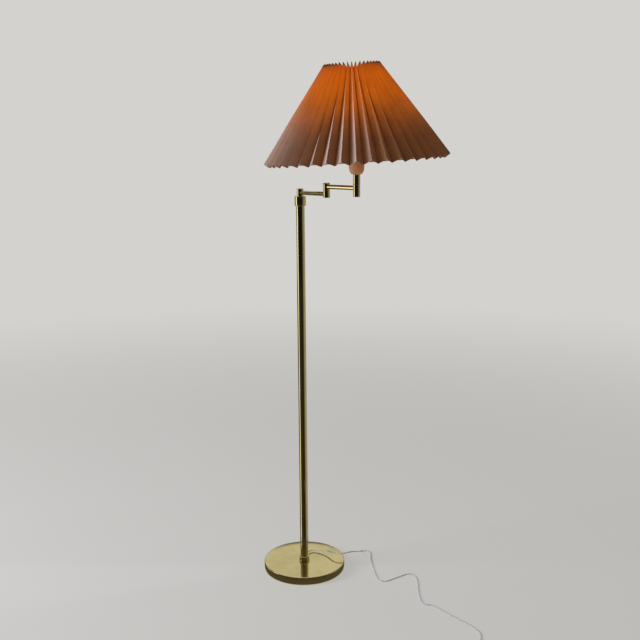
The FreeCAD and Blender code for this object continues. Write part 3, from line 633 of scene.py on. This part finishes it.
def foldPlace(x, y):
    # 0 at a valley, 1 at the ridge after it, 2 at the next valley
    turn = math.degrees(math.atan2(y, x)) - shadeValues["phase"]
    return (turn / (180 / shadeValues["pleats"])) % 2


def comesIn(turned, edge, along=1):
    # 0 before the edge's azimuth, 1 after its run of degrees
    start, run = edge
    return min(max(along * (turned - start) / run, 0), 1)


def mapFolds(mesh):
    # red: from valley to ridge; green: how much window light is painted on the cloth
    v = shadeValues
    foldMap = mesh.color_attributes.new("foldMap", "FLOAT_COLOR", "CORNER")
    for face in mesh.polygons:
        x, y = face.center[:2]
        azimuth = math.degrees(math.atan2(y, x))
        side = 1.0 if foldPlace(x, y) < 1 else 0.0
        if azimuth < 0:
            window, left = comesIn(azimuth, v["windowFront"], -1), comesIn(azimuth, v["leftFront"], -1)
        else:
            window, left = comesIn(azimuth, v["windowBack"]), comesIn(azimuth, v["leftBack"])
        for corner in face.loop_indices:
            x, y = mesh.vertices[mesh.loops[corner].vertex_index].co[:2]
            place = foldPlace(x, y)
            ridge = 1 - abs(place - 1)
            near = min(max((ridge - 0.45) / 0.50, 0), 1)
            # painted window light: strongest near the ridges of the faces towards the window, with a little
            # over the whole left side and more along its ridges
            towards = side * window * (0.10 + 0.90 * near)
            faded = max(towards, 0.26 * left, 0.80 * left * (ridge > 0.9))
            foldMap.data[corner].color = (ridge, faded, 0, 1)


def makeShade():
    v = shadeValues
    deselectAll()
    pleats = v["pleats"]
    slope = (v["bottomRadius"] - v["bottomDepth"] - v["topRadius"] + v["topDepth"]) / v["height"]
    bpy.ops.mesh.primitive_circle_add(vertices=2 * pleats, radius=v["bottomRadius"])
    shade = bpy.context.object
    shade.name = "pleatedShade"
    editAll()
    bpy.ops.mesh.extrude_edges_move(TRANSFORM_OT_translate={"value": (0, 0, v["height"])})
    bpy.ops.object.mode_set(mode="OBJECT")
    # every fold goes to its own ridge or valley line
    ringSize = 2 * pleats
    for k, vertex in enumerate(shade.data.vertices):
        high = k >= ringSize
        ridge = k % 2 == 1
        turn = math.radians(v["phase"] + 180 * (k % ringSize) / pleats)
        full = v["topRadius" if high else "bottomRadius"]
        depth = v["topDepth" if high else "bottomDepth"]
        radius = full if ridge else full - depth
        if high:
            height = v["height"] - (0 if ridge else depth) * slope
        else:
            height = (depth if ridge else 0) * slope
        vertex.co = (radius * math.cos(turn), radius * math.sin(turn), height - v["drop"])
    editAll()
    bpy.ops.mesh.subdivide(number_cuts=5)
    bpy.ops.mesh.normals_make_consistent(inside=False)
    bpy.ops.object.mode_set(mode="OBJECT")
    # the cloth's own unevenness between its folds
    for vertex in shade.data.vertices:
        x, y, z = vertex.co
        out = Vector((x, y, 0)).normalized()
        angle = math.atan2(y, x)
        wave = math.sin(9 * angle + 23 * z) + math.sin(17 * angle - 31 * z + 1.3)
        wave += math.sin(5 * angle + 40 * z)
        vertex.co += out * wave * v["unevenness"]
    applyModifier(shade, "SOLIDIFY", thickness=v["wall"], offset=-1, use_even_offset=True)
    mapFolds(shade.data)
    shade.data.transform(shadePlace())
    deselectAll()
    shade.select_set(True)
    bpy.context.view_layer.objects.active = shade
    bpy.ops.object.shade_smooth_by_angle(angle=math.radians(25))
    return finishPiece(shade, "lamp_head", materialOf["shade_cloth"], ("shade_pleats",))


makeShade()
print("shade pleated")


# ---- stand

standValues = {
    "centre": (0.0, 0.0),
    "baseRadius": 127.0,
    "baseTop": 26.0,
    "baseEdge": 3.0,
    "coverLow": 0.8,
    "coverWall": 1.2,
    "hole": 5.1,
    "wireBore": 5.05,
    "columnRadius": 12.7,
    "columnBore": 11.2,
    "columnTop": 1162.0,
    "collarRadius": 16.5,
    "collarTop": 38.5,
    "topCollarRadius": 16.75,
    "topCollarLow": 1146.0,
    "topCollarTop": 1174.0,
}


def quarter(radius, height, size, steps=6):
    # an outer edge rounded from its side to its top
    return [(radius - size + size * math.cos(math.radians(90 * k / steps)),
             height - size + size * math.sin(math.radians(90 * k / steps))) for k in range(steps + 1)]


def makeStand():
    v = standValues
    r, top, edge, wall, low = v["baseRadius"], v["baseTop"], v["baseEdge"], v["coverWall"], v["coverLow"]
    inner = quarter(r - wall, top - wall, edge - wall)[::-1]
    rings = [(r, low + 0.4)] + quarter(r, top, edge)
    rings += [(90, top), (50, top), (18, top), (v["hole"], top), (v["hole"], top - wall)] + inner
    rings += [(r - wall, low), (r - 0.4, low), rings[0]]
    cover = turnedPiece("baseCover", v["centre"], rings, sides=192)
    standIn(cover, "base_cover")
    cover.data.materials[0] = baseBrass

    r, top = v["collarRadius"], v["collarTop"]
    bore = v["columnRadius"] + 0.05
    rings = [(r, v["baseTop"]), (r, top - 0.8), (r - 0.8, top), (bore, top), (bore, v["baseTop"]),
             (r, v["baseTop"])]
    standIn(turnedPiece("baseCollar", v["centre"], rings, bevel=0.25), "base_collar")

    rings = [(v["columnRadius"], v["baseTop"]), (v["columnRadius"], v["columnTop"]),
             (v["columnBore"], v["columnTop"]), (v["columnBore"], v["baseTop"])]
    rings.append(rings[0])
    standIn(turnedPiece("columnTube", v["centre"], rings, sides=128), "column_tube")

    r, low, top = v["topCollarRadius"], v["topCollarLow"], v["topCollarTop"]
    rings = [(r - 0.8, low), (r, low + 0.8), (r, top - 0.8), (r - 0.8, top), (v["wireBore"], top),
             (v["wireBore"], top - 3), (11, top - 3), (11, v["columnTop"]), (bore, v["columnTop"]),
             (bore, low), (r - 0.8, low)]
    standIn(turnedPiece("topCollar", v["centre"], rings, bevel=0.25), "top_collar")


makeStand()
print("stand turned")


# ---- swing arms

armValues = {
    "shoulder": (0.0, 0.0),
    "elbow": (0.0751, -0.0870),
    "head": (0.1556, -0.1690),
    "innerHeight": 1184.7,
    "outerHeight": 1205.2,
    "tubeRadius": 6.35,
    "tubeBore": 5.35,
    "hubRadius": 9.75,
    "chamber": 7.5,
    "wireBore": 5.05,
    "edge": 0.4,
    "hubBevel": 0.15,
    "shoulderHub": (1174.3, 1196.0),
    "elbowSocket": (1174.4, 1195.2),
    "elbowHub": (1195.5, 1213.3),
    "endHub": (1181.0, 1215.0),
    "floor": 3.0,
    "capRadius": 10.3,
    "capHeight": 3.0,
    "stemRadius": 9.9,
    "stem": (1215.3, 1242.0),
}


def hubRings(low, high, openAbove):
    v = armValues
    r, e, c, f, bore = v["hubRadius"], v["edge"], v["chamber"], v["floor"], v["wireBore"]
    if openAbove:
        return [(r - e, low), (r, low + e), (r, high - e), (r - e, high), (c, high), (c, low + f),
                (bore, low + f), (bore, low), (r - e, low)]
    return [(c, low), (r - e, low), (r, low + e), (r, high - e), (r - e, high), (bore, high),
            (bore, high - f), (c, high - f), (c, low)]


def makeHub(name, node, place, openAbove):
    v = armValues
    hub = turnedPiece(name, v[place], hubRings(*v[name], openAbove), bevel=v["hubBevel"])
    return standIn(hub, node)


def makeArmTube(name, node, start, end, height):
    v = armValues
    start, end = Vector((*start, height / 1000)), Vector((*end, height / 1000))
    length = (end - start).length * 1000
    rings = [(v["tubeRadius"], 5.0), (v["tubeRadius"], length - 5.0), (v["tubeBore"], length - 5.0),
             (v["tubeBore"], 5.0), (v["tubeRadius"], 5.0)]
    tube = turnedPiece(name, (0, 0), rings, sides=64)
    # each end is cut to the round wall of its hub
    for vertex in tube.data.vertices:
        depth = math.sqrt((v["chamber"] + 0.05) ** 2 - (vertex.co.x * 1000) ** 2) / 1000
        vertex.co.z = depth if vertex.co.z < length / 2000 else length / 1000 - depth
    laidAlong(tube, start, end - start)
    return standIn(tube, node)


def makeArms():
    v = armValues
    makeHub("shoulderHub", "shoulder_hub", "shoulder", True)
    makeArmTube("innerArm", "inner_arm_tube", v["shoulder"], v["elbow"], v["innerHeight"])
    makeHub("elbowSocket", "elbow_socket", "elbow", False)
    makeHub("elbowHub", "elbow_hub", "elbow", True)
    low = v["elbowHub"][1]
    high = low + v["capHeight"]
    r = v["capRadius"]
    rings = [(v["chamber"] - 0.05, low - 2), (v["chamber"] - 0.05, low), (r - 0.2, low), (r, low + 0.3)]
    rings += quarter(r, high - 0.15, v["capHeight"] * 0.75)
    rings += [(r * 0.5, high - 0.04), (r * 0.2, high), (0, high)]
    standIn(turnedPiece("elbowCap", v["elbow"], rings), "elbow_cap")
    makeArmTube("outerArm", "outer_arm_tube", v["elbow"], v["head"], v["outerHeight"])
    makeHub("endHub", "end_hub", "head", False)
    low, high = v["stem"]
    r, e, bore = v["stemRadius"], v["edge"], v["wireBore"]
    rings = [(r - e, low), (r, low + e), (r, high - e), (r - e, high), (bore, high), (bore, low)]
    rings.append(rings[0])
    standIn(turnedPiece("headStem", v["head"], rings, bevel=v["hubBevel"]), "head_stem")


makeArms()
print("arms turned")


# ---- lampholder and bulb

holderValues = {
    "centre": (0.1556, -0.1690),
    "domeRadius": 21.2,
    "seatRadius": 10.0,
    "low": 1242.0,
    "domeHeight": 20.0,
    "top": 1264.0,
    "wall": 2.0,
    "ringNutRadius": 24.0,
    "ringNutBore": 19.05,
    "ringNuts": (("lowerRingNut", "lower_ring_nut", 1278.644, 1282.644),
                 ("upperRingNut", "upper_ring_nut", 1287.356, 1291.356)),
    "grips": 24,
    "gripDepth": 0.9,
}
bulbValues = {
    "centre": (0.1556, -0.1690),
    "neckRadius": 13.6,
    "neckHeight": 1298.5,
    "radius": 30.0,
    "length": 86.0,
}


def makeHolder():
    v = holderValues
    outline = []
    for k in range(15):
        turn = math.radians(90 * k / 14)
        outline.append((v["seatRadius"] + (v["domeRadius"] - v["seatRadius"]) * math.sin(turn),
                        v["low"] + v["domeHeight"] * (1 - math.cos(turn))))
    inside = [(radius - v["wall"], height + v["wall"]) for radius, height in reversed(outline)
              if height + v["wall"] < v["top"]]
    rings = outline + [(v["domeRadius"], v["top"]), (v["domeRadius"] - v["wall"], v["top"])] + inside
    rings += [(5.05, v["low"] + v["wall"]), (5.05, v["low"]), outline[0]]
    standIn(turnedPiece("holderDome", v["centre"], rings, smoothAngle=40), "holder_cap")

    for name, node, low, high in v["ringNuts"]:
        r = v["ringNutRadius"]
        rings = [(v["ringNutBore"], low), (r - 0.6, low), (r, low + 0.6), (r, high - 0.6), (r - 0.6, high),
                 (v["ringNutBore"], high), (v["ringNutBore"], low)]
        nut = turnedPiece(name, v["centre"], rings, sides=6 * v["grips"])
        for vertex in nut.data.vertices:
            away = vertex.co - Vector((*v["centre"], vertex.co.z))
            if away.length > (r - 1) / 1000:
                place = math.atan2(away.y, away.x) / (2 * math.pi) * v["grips"] % 1
                if place < 0.40:
                    vertex.co -= away.normalized() * v["gripDepth"] / 1000
        standIn(nut, node)


def makeBulb():
    v = bulbValues
    ballHeight = v["neckHeight"] + v["length"] - v["radius"]
    rings = [(v["neckRadius"], v["neckHeight"])]
    for k in range(1, 13):
        blend = (1 - math.cos(math.pi * k / 12)) / 2
        rings.append((v["neckRadius"] + (v["radius"] - v["neckRadius"]) * blend,
                      v["neckHeight"] + (ballHeight - v["neckHeight"]) * k / 12))
    for k in range(1, 14):
        turn = math.radians(90 * k / 14)
        rings.append((v["radius"] * math.cos(turn), ballHeight + v["radius"] * math.sin(turn)))
    rings.append((0, ballHeight + v["radius"]))
    standIn(turnedPiece("bulbGlass", v["centre"], rings, sides=64, smoothAngle=50), "bulb_glass")


makeHolder()
makeBulb()
print("lampholder made")


# ---- cord relief

reliefValues = {
    "root": 4.0,
    "tip": 3.2,
    "start": 13.5,
    "end": 33.5,
    "bore": 1.65,
    "height": 0.032,
    "azimuth": 72.0,
    "shoulder": 17.4,
    "grooves": 5,
    "grooveDepth": 0.55,
}


def makeRelief():
    v = reliefValues
    shoulder, grooveDepth = v["shoulder"], v["grooveDepth"]
    rings = [(v["bore"], v["start"]), (v["root"], v["start"]), (v["root"], shoulder)]
    step = (v["end"] - 2.2 - shoulder) / v["grooves"]
    for k in range(v["grooves"]):
        at = shoulder + step * k
        radius = v["root"] + (v["tip"] - v["root"]) * (at - shoulder) / (v["end"] - shoulder)
        rings += [(radius - grooveDepth, at + 0.25 * step), (radius - grooveDepth, at + 0.55 * step),
                  (radius - 0.08, at + 0.8 * step), (radius - 0.08, at + step)]
    rings += [(v["tip"], v["end"] - 0.6), (v["tip"] - 0.5, v["end"]), (v["bore"], v["end"]),
              (v["bore"], v["start"])]
    relief = turnedPiece("cordRelief", (0, 0), rings, sides=48, bevel=0.12)
    turn = math.radians(v["azimuth"])
    laidAlong(relief, Vector((0, 0, v["height"])), (math.cos(turn), math.sin(turn), 0))
    return standIn(relief, "cord_relief")


relief = makeRelief()
print("relief made")


# ---- studio: floor, backdrop, lamps and camera

studioValues = {
    "backdrop": (0.66, 0.645, 0.62),
    "floor": (0.86, 0.845, 0.82),
    "floorGlow": 0.64,
    "floorRadius": 14,
    "floorFar": (1.0, 5.0),
    "ambient": 0.15,
    "ambientColour": (0.95, 0.97, 1.0),
    "windowPower": 84,
    "windowPlace": (-3.1, -0.65, 1.75),
    "windowAim": (0.1, -0.1, 0.9),
    "windowSize": (1.3, 2.0),
    "windowColour": (0.93, 0.95, 1.0),
    "lampPower": 2.5,
    "lampPlace": (0.1556, -0.169, 1.345),
    "lampColour": (1.0, 0.72, 0.42),
    "lampSoftness": 0.02,
    # the mirrored surround's outline, radius and height in millimetres, and its changes of tone in metres
    "mirroredOutline": [(131, 0.6), (4600, 0.6), (4850, 90), (4950, 250), (5000, 1900), (5000, 5200)],
    "floorToWalls": (0.05, 0.25),
    "wallsToCeiling": (1.80, 1.95),
    "besideBase": (0.15, 0.24),
    # what the metal mirrors round the room, by azimuth from -180 to 180 as 0 to 1
    "mirroredWalls": [
        (0.000, (1.90, 1.98, 2.10)),
        (0.036, (1.90, 1.98, 2.10)),
        (0.046, (0.006, 0.005, 0.005)),
        (0.360, (0.014, 0.012, 0.010)),
        (0.425, (0.190, 0.180, 0.165)),
        (0.520, (0.340, 0.330, 0.310)),
        (0.620, (0.400, 0.390, 0.370)),
        (0.690, (0.130, 0.125, 0.120)),
        (0.780, (0.130, 0.125, 0.120)),
        (0.800, (0.520, 0.510, 0.490)),
        (0.900, (0.420, 0.410, 0.400)),
        (0.950, (0.200, 0.190, 0.180)),
        (0.988, (0.330, 0.320, 0.310)),
        (0.998, (1.90, 1.98, 2.10)),
    ],
    "mirroredFloor": [
        (0.000, (1.50, 1.55, 1.60)),
        (0.036, (1.35, 1.40, 1.45)),
        (0.050, (0.050, 0.045, 0.035)),
        (0.300, (0.024, 0.019, 0.012)),
        (0.380, (0.040, 0.034, 0.024)),
        (0.440, (0.300, 0.290, 0.270)),
        (0.600, (0.450, 0.440, 0.415)),
        (0.700, (0.160, 0.155, 0.150)),
        (0.780, (0.160, 0.155, 0.150)),
        (0.820, (0.340, 0.330, 0.320)),
        (0.930, (0.060, 0.057, 0.050)),
        (0.988, (0.040, 0.038, 0.034)),
        (0.998, (1.50, 1.55, 1.60)),
    ],
    "mirroredBeside": (0.085, 0.078, 0.060),
    "mirroredCeiling": [
        (0.000, (0.480, 0.440, 0.380)),
        (0.060, (0.090, 0.084, 0.074)),
        (0.380, (0.095, 0.088, 0.078)),
        (0.450, (0.280, 0.270, 0.260)),
        (0.600, (0.400, 0.390, 0.370)),
        (0.640, (0.660, 0.645, 0.620)),
        (0.860, (0.660, 0.645, 0.620)),
        (0.930, (0.070, 0.067, 0.060)),
        (0.986, (0.060, 0.057, 0.050)),
        (0.998, (0.480, 0.440, 0.380)),
    ],
}


cameraValues = {
    "place": (0.0, -2.6438, 1.3364),
    "yaw": 1.27,
    "pitch": 11.42,
    "roll": -0.442,
    "focalPixels": 893.1,
    "widthPixels": 640,
    "shiftPixels": -1,
    "sensor": 36,
}


def lookedAt(tree):
    # 1 for what the camera sees, also in a mirror or through glass
    path = addNode(tree, "LightPath")
    seen = math2(tree, "MAXIMUM", path.outputs["Is Camera Ray"], path.outputs["Is Glossy Ray"])
    return math2(tree, "MAXIMUM", seen, path.outputs["Is Transmission Ray"])


def makeWorld():
    world = bpy.data.worlds.new("studioWorld")
    bpy.context.scene.world = world
    world.use_nodes = True
    tree = world.node_tree
    tree.nodes.clear()
    seen = addNode(tree, "Background", Color=(*studioValues["backdrop"], 1), Strength=1)
    ambient = addNode(tree, "Background", Color=(*studioValues["ambientColour"], 1),
                      Strength=studioValues["ambient"])
    mix = addNode(tree, "MixShader")
    tree.links.new(lookedAt(tree), mix.inputs["Fac"])
    tree.links.new(ambient.outputs[0], mix.inputs[1])
    tree.links.new(seen.outputs[0], mix.inputs[2])
    tree.links.new(mix.outputs[0], addNode(tree, "OutputWorld").inputs["Surface"])


def makeFloor():
    deselectAll()
    bpy.ops.mesh.primitive_circle_add(vertices=64, radius=studioValues["floorRadius"], fill_type="NGON",
                                      location=(0, 0, 0))
    floor = bpy.context.object
    floor.name = "studioFloor"
    material, tree, shader = newMaterial("paleFloor")
    cloud = noiseOn(tree, 3, detail=4)
    low = [0.96 * c for c in studioValues["floor"]]
    tone = ramp(tree, cloud.outputs["Fac"], [(0.3, low), (0.7, studioValues["floor"])])
    tree.links.new(tone.outputs["Color"], shader.inputs["Base Color"])
    shader.inputs["Roughness"].default_value = 0.85
    # seen, it is pale with the shadow left in it, and far away it goes over into the backdrop
    where = addNode(tree, "TexCoord")
    length = addNode(tree, "VectorMath")
    length.operation = "LENGTH"
    tree.links.new(where.outputs["Object"], length.inputs[0])
    far = remap(tree, length.outputs["Value"], *studioValues["floorFar"], studioValues["floorGlow"], 1)
    far.interpolation_type = "SMOOTHSTEP"
    backdrop = addNode(tree, "Emission")
    backdrop.inputs["Color"].default_value = (*studioValues["backdrop"], 1)
    mix = addNode(tree, "MixShader")
    output = tree.nodes["Material Output"]
    tree.links.new(math2(tree, "MULTIPLY", far.outputs[0], lookedAt(tree)), mix.inputs["Fac"])
    tree.links.new(shader.outputs[0], mix.inputs[1])
    tree.links.new(backdrop.outputs[0], mix.inputs[2])
    tree.links.new(mix.outputs[0], output.inputs["Surface"])
    floor.data.materials.append(material)


def makeMirroredRoom():
    # cards round the lamp and over the floor, which only the metal mirrors
    v = studioValues
    room = turnedPiece("mirroredRoom", (0, 0), v["mirroredOutline"], smoothAngle=80)
    editAll()
    bpy.ops.mesh.select_all(action="DESELECT")
    bpy.ops.mesh.select_mode(type="FACE")
    bpy.ops.object.mode_set(mode="OBJECT")
    for face in room.data.polygons:
        face.select = len(face.vertices) > 4  # the flat ends stay open
    bpy.ops.object.mode_set(mode="EDIT")
    bpy.ops.mesh.delete(type="ONLY_FACE")
    bpy.ops.object.mode_set(mode="OBJECT")
    material, tree, _ = newMaterial("mirroredRoom")
    where = addNode(tree, "TexCoord")
    around = addNode(tree, "TexGradient")
    around.gradient_type = "RADIAL"
    tree.links.new(where.outputs["Object"], around.inputs["Vector"])
    parts = addNode(tree, "SeparateXYZ")
    tree.links.new(where.outputs["Object"], parts.inputs[0])
    below = ramp(tree, around.outputs["Fac"], v["mirroredFloor"])
    walls = ramp(tree, around.outputs["Fac"], v["mirroredWalls"])
    above = ramp(tree, around.outputs["Fac"], v["mirroredCeiling"])
    # the floor beside the base is lighter than the floor further off
    away = addNode(tree, "VectorMath")
    away.operation = "LENGTH"
    tree.links.new(where.outputs["Object"], away.inputs[0])
    beside = addNode(tree, "MixRGB")
    near = remap(tree, away.outputs["Value"], *v["besideBase"], 1, 0)
    tree.links.new(near.outputs[0], beside.inputs["Fac"])
    tree.links.new(below.outputs["Color"], beside.inputs["Color1"])
    beside.inputs["Color2"].default_value = (*v["mirroredBeside"], 1)
    lower = addNode(tree, "MixRGB")
    up = remap(tree, parts.outputs["Z"], *v["floorToWalls"], 0, 1)
    tree.links.new(up.outputs[0], lower.inputs["Fac"])
    tree.links.new(beside.outputs["Color"], lower.inputs["Color1"])
    tree.links.new(walls.outputs["Color"], lower.inputs["Color2"])
    whole = addNode(tree, "MixRGB")
    up = remap(tree, parts.outputs["Z"], *v["wallsToCeiling"], 0, 1)
    tree.links.new(up.outputs[0], whole.inputs["Fac"])
    tree.links.new(lower.outputs["Color"], whole.inputs["Color1"])
    tree.links.new(above.outputs["Color"], whole.inputs["Color2"])
    light = addNode(tree, "Emission")
    tree.links.new(whole.outputs["Color"], light.inputs["Color"])
    tree.links.new(light.outputs[0], tree.nodes["Material Output"].inputs["Surface"])
    room.data.materials.append(material)
    for ray in ("camera", "diffuse", "transmission", "shadow"):
        setattr(room, "visible_" + ray, False)


def areaLamp(name, place, target, size, power, colour):
    lamp = bpy.data.lights.new(name, "AREA")
    lamp.shape = "RECTANGLE"
    lamp.size, lamp.size_y = size
    lamp.energy = power
    lamp.color = colour
    holder = bpy.data.objects.new(name, lamp)
    bpy.context.scene.collection.objects.link(holder)
    holder.location = place
    holder.rotation_euler = (Vector(target) - Vector(place)).to_track_quat("-Z", "Y").to_euler()
    return holder


def makeCamera():
    # the photograph's own viewpoint: 2.64 m in front of the column, 1.34 m up
    v = cameraValues
    camera = bpy.data.cameras.new("photoCamera")
    holder = bpy.data.objects.new("photoCamera", camera)
    bpy.context.scene.collection.objects.link(holder)
    yaw, pitch, roll = (math.radians(v[name]) for name in ("yaw", "pitch", "roll"))
    ahead = Vector((math.sin(yaw) * math.cos(pitch), math.cos(yaw) * math.cos(pitch), -math.sin(pitch)))
    right = ahead.cross(Vector((0, 0, 1))).normalized()
    above = right.cross(ahead)
    cameraRight = right * math.cos(roll) + above * math.sin(roll)
    cameraUp = above * math.cos(roll) - right * math.sin(roll)
    turn = Matrix((cameraRight, cameraUp, -ahead)).transposed()
    holder.matrix_world = Matrix.Translation(v["place"]) @ turn.to_4x4()
    camera.sensor_width = v["sensor"]
    camera.lens = v["focalPixels"] / v["widthPixels"] * v["sensor"]
    camera.shift_x = v["shiftPixels"] / v["widthPixels"]
    bpy.context.scene.camera = holder


def makeLamps():
    v = studioValues
    window = areaLamp("window", v["windowPlace"], v["windowAim"], v["windowSize"], v["windowPower"],
                      v["windowColour"])
    window.visible_glossy = False
    bulbLight = bpy.data.lights.new("bulbLight", "POINT")
    bulbLight.energy = v["lampPower"]
    bulbLight.color = v["lampColour"]
    bulbLight.shadow_soft_size = v["lampSoftness"]
    bulbHolder = bpy.data.objects.new("bulbLight", bulbLight)
    bpy.context.scene.collection.objects.link(bulbHolder)
    bulbHolder.location = v["lampPlace"]
    bulbHolder.parent = frame["bodies"]["lamp_head"]


makeWorld()
makeFloor()
makeMirroredRoom()
makeLamps()
makeCamera()
bpy.context.scene.view_settings.view_transform = "Standard"
print("studio set")
